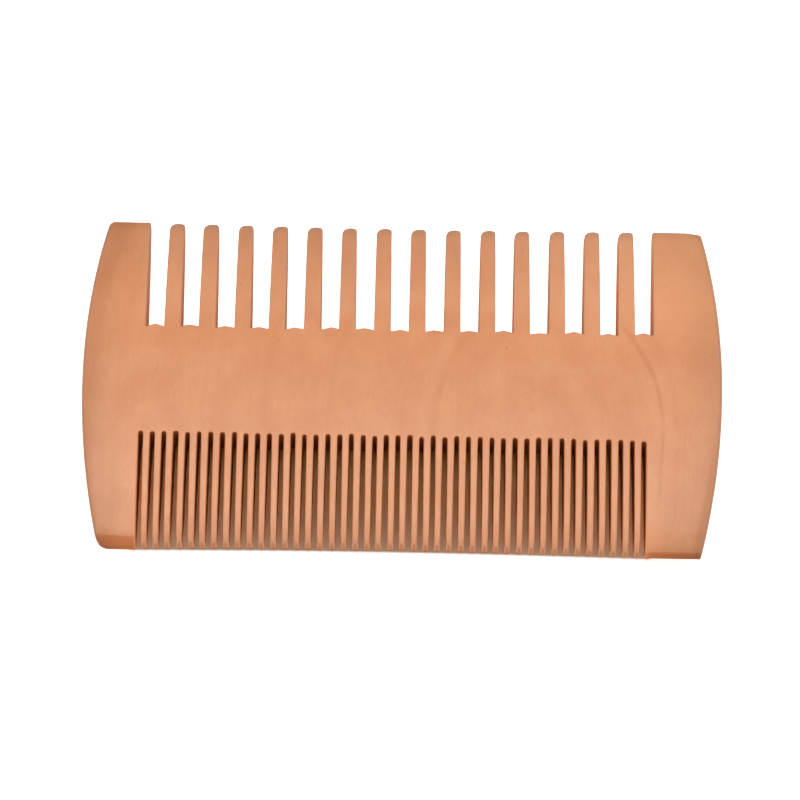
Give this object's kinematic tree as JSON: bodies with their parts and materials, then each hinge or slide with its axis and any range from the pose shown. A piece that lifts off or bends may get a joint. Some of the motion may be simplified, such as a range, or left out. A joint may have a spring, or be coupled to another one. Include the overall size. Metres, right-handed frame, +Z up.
{
  "type": "beard comb",
  "caption": "Flat double-sided wooden comb with bowed ends: a row of wide teeth along one edge, a row of narrow teeth along the other, and a solid spine between them.",
  "frame": {"origin": "on the resting plane, under the middle of the comb's box; the comb lies flat on its back face", "axes": "+X along the spine, +Y from the narrow teeth towards the wide teeth, +Z up through the thickness"},
  "size_m": [0.0995, 0.053, 0.0088],
  "materials": {
    "pear_wood": "satin, hand-rubbed, close-grained light reddish tan fruitwood"
  },
  "bodies": {
    "root": {"spine": "pear_wood", "left_guard": "pear_wood", "right_guard": "pear_wood", "coarse_tooth_01": "pear_wood", "coarse_tooth_02": "pear_wood", "coarse_tooth_03": "pear_wood", "coarse_tooth_04": "pear_wood", "coarse_tooth_05": "pear_wood", "coarse_tooth_06": "pear_wood", "coarse_tooth_07": "pear_wood", "coarse_tooth_08": "pear_wood", "coarse_tooth_09": "pear_wood", "coarse_tooth_10": "pear_wood", "coarse_tooth_11": "pear_wood", "coarse_tooth_12": "pear_wood", "coarse_tooth_13": "pear_wood", "coarse_tooth_14": "pear_wood", "fine_tooth_01": "pear_wood", "fine_tooth_02": "pear_wood", "fine_tooth_03": "pear_wood", "fine_tooth_04": "pear_wood", "fine_tooth_05": "pear_wood", "fine_tooth_06": "pear_wood", "fine_tooth_07": "pear_wood", "fine_tooth_08": "pear_wood", "fine_tooth_09": "pear_wood", "fine_tooth_10": "pear_wood", "fine_tooth_11": "pear_wood", "fine_tooth_12": "pear_wood", "fine_tooth_13": "pear_wood", "fine_tooth_14": "pear_wood", "fine_tooth_15": "pear_wood", "fine_tooth_16": "pear_wood", "fine_tooth_17": "pear_wood", "fine_tooth_18": "pear_wood", "fine_tooth_19": "pear_wood", "fine_tooth_20": "pear_wood", "fine_tooth_21": "pear_wood", "fine_tooth_22": "pear_wood", "fine_tooth_23": "pear_wood", "fine_tooth_24": "pear_wood", "fine_tooth_25": "pear_wood", "fine_tooth_26": "pear_wood", "fine_tooth_27": "pear_wood", "fine_tooth_28": "pear_wood", "fine_tooth_29": "pear_wood", "fine_tooth_30": "pear_wood", "fine_tooth_31": "pear_wood", "fine_tooth_32": "pear_wood", "fine_tooth_33": "pear_wood", "fine_tooth_34": "pear_wood", "fine_tooth_35": "pear_wood", "fine_tooth_36": "pear_wood", "fine_tooth_37": "pear_wood", "fine_tooth_38": "pear_wood", "fine_tooth_39": "pear_wood", "fine_tooth_40": "pear_wood", "fine_tooth_41": "pear_wood", "fine_tooth_42": "pear_wood", "fine_tooth_43": "pear_wood"}
  },
  "joints": []
}
